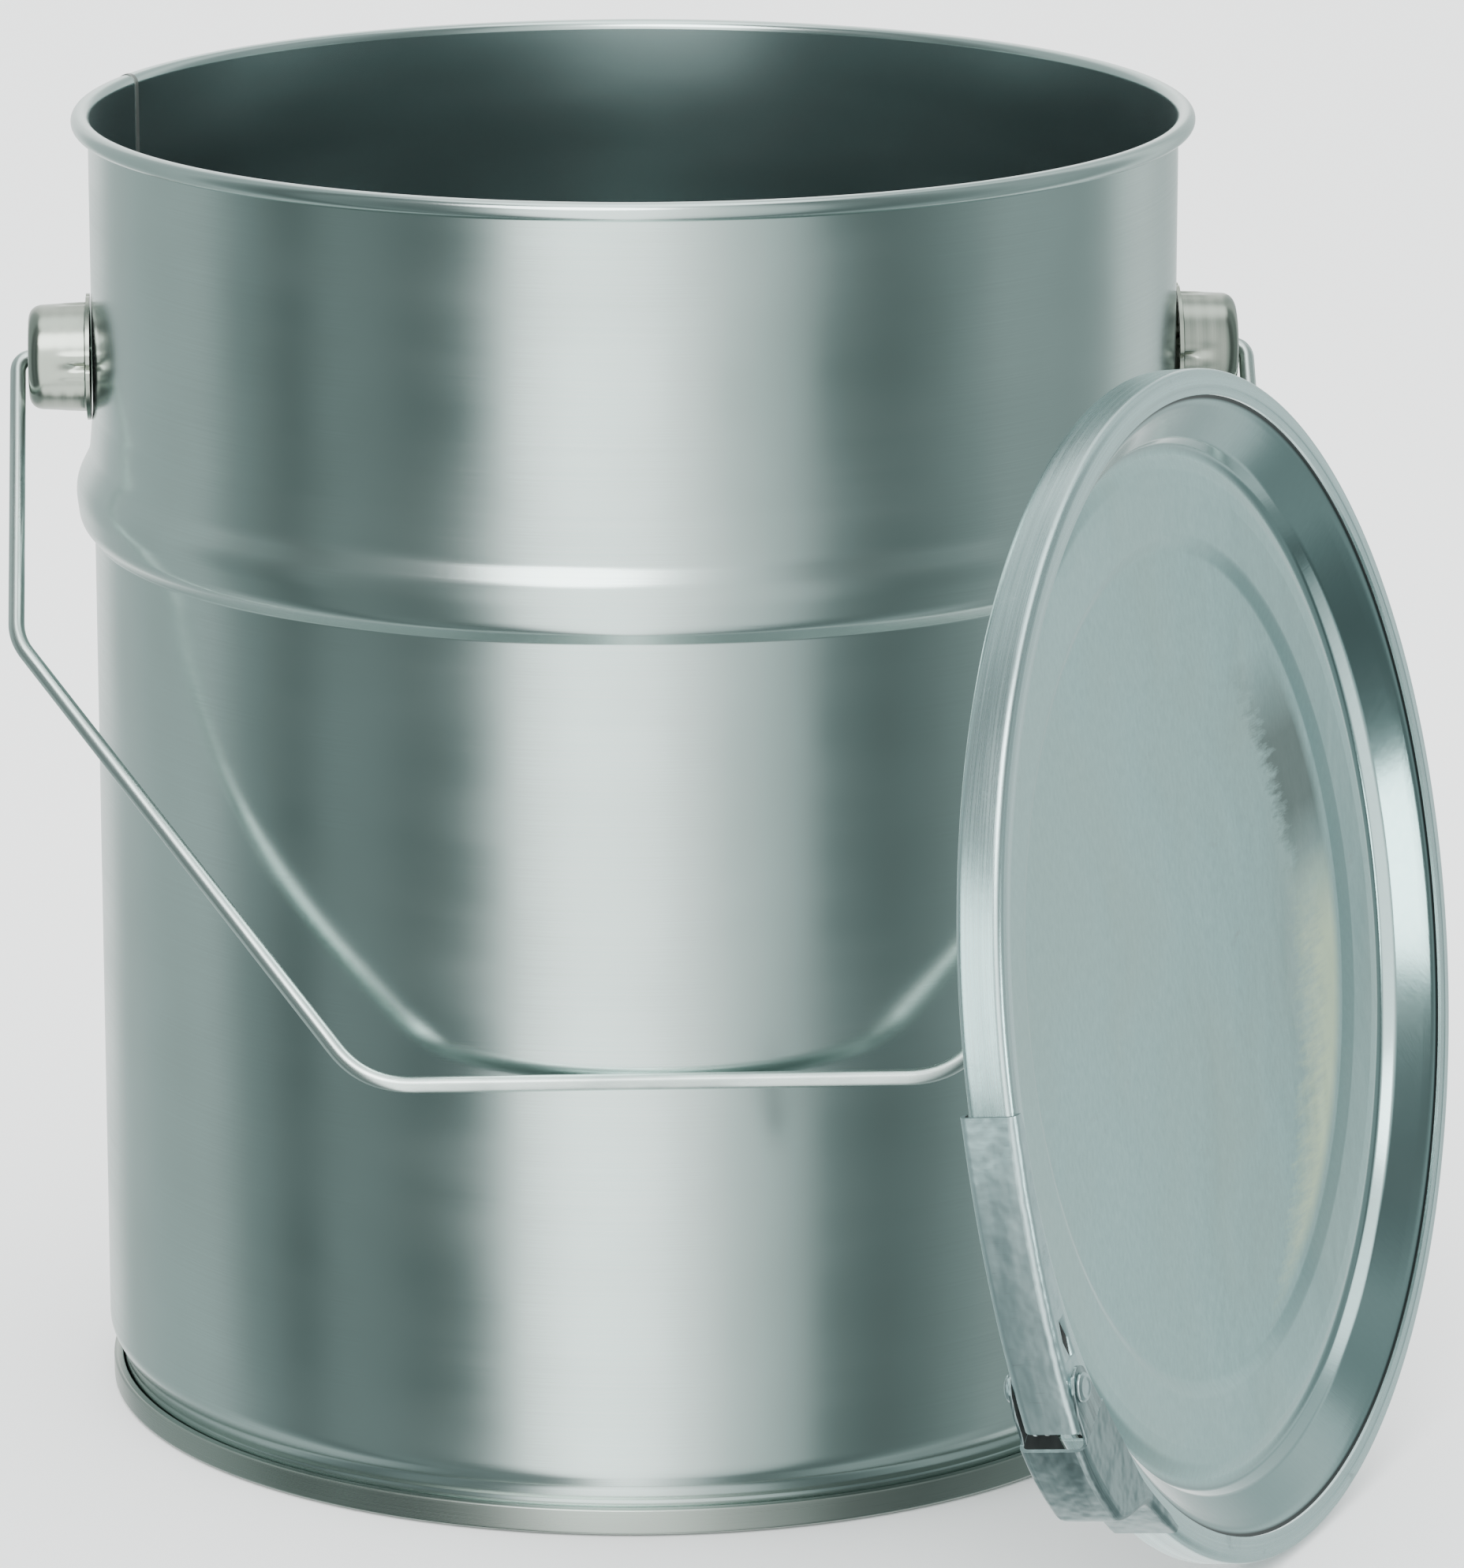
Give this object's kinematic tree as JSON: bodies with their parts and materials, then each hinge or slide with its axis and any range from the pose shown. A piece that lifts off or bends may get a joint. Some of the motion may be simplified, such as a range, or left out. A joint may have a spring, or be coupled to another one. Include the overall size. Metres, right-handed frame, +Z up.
{
  "type": "paint can with lever closing ring lid",
  "caption": "Round tinplate paint pail with an expansion bead, a wire bail on pressed ears, and a lid in its lever closing ring leaning at the side.",
  "frame": {"origin": "on the floor, at the centre of the whole assembly's footprint; the pail's own axis stands at x = -0.0216, y = 0.0521", "axes": "+Z up along the pail's axis, +X to the right as seen from the front, -Y towards the viewer; the bail hangs at the front and the lid leans at the right"},
  "size_m": [0.3072, 0.342, 0.2784],
  "materials": {
    "tinplate": "bright electrolytic tinplate, soft vertical reflections, roughness about 0.2",
    "tinplate_seam": "tinplate, slightly darker and scuffed at the double seam",
    "sealing_compound": "matte green-grey lining compound",
    "ear_tinplate": "pressed tinplate with draw marks",
    "bail_wire": "drawn galvanised wire, satin",
    "lid_tinplate": "matte tinplate with faint mottling, brighter on the drawn wall",
    "gasket_rubber": "matte flowed-in rubber",
    "zinc_band": "galvanised strip, fine lengthwise rolling lines",
    "zinc_lever": "galvanised sheet, satin to matte with scuffs",
    "rivet_steel": "galvanised rivet, satin"
  },
  "bodies": {
    "pail": {"body_shell": "tinplate", "bottom_end": "tinplate_seam", "seam_compound": "sealing_compound", "ear_left": "ear_tinplate", "ear_right": "ear_tinplate"},
    "bail": {"bail": "bail_wire"},
    "lid": {"lid_panel": "lid_tinplate", "lid_gasket": "gasket_rubber", "closing_ring_lower": "zinc_band"},
    "ring_upper": {"closing_ring_upper": "zinc_band", "lever_lug": "zinc_band"},
    "lever": {"lever": "zinc_lever", "bracket_rivet_front": "rivet_steel", "bracket_rivet_rear": "rivet_steel"},
    "bracket": {"closure_bracket": "zinc_lever"}
  },
  "joints": [
    {"name": "bail_swing", "type": "hinge", "parent": "pail", "child": "bail", "pos_m": [-0.0216, 0.05208, 0.2255], "axis": [-0.9991, -0.0419, 0], "range_deg": [0, 274]},
    {"name": "lid_tip", "type": "hinge", "parent": "pail", "child": "lid", "pos_m": [0.11701, -0.06643, 0], "axis": [0.4226, 0.9063, 0], "range_deg": [0, 95]},
    {"name": "ring_open", "type": "hinge", "parent": "lid", "child": "ring_upper", "pos_m": [0.12838, 0.03492, 0.1869], "axis": [-0.8964, 0.418, -0.1478], "range_deg": [0, 3.1]},
    {"name": "lever_swing", "type": "hinge", "parent": "ring_upper", "child": "lever", "pos_m": [0.05994, -0.15759, 0.05754], "axis": [0.8964, -0.418, 0.1478], "range_deg": [0, 120]},
    {"name": "link_swing", "type": "hinge", "parent": "lever", "child": "bracket", "pos_m": [0.05711, -0.16104, 0.06497], "axis": [-0.8964, 0.418, -0.1478], "range_deg": [0, 113]}
  ],
  "couplings": [
    {"joint": "lid_tip", "follows": "bail_swing", "ratio": 0.3467},
    {"joint": "ring_open", "follows": "lever_swing", "ratio": 0.02567},
    {"joint": "link_swing", "follows": "lever_swing", "ratio": 0.94}
  ]
}
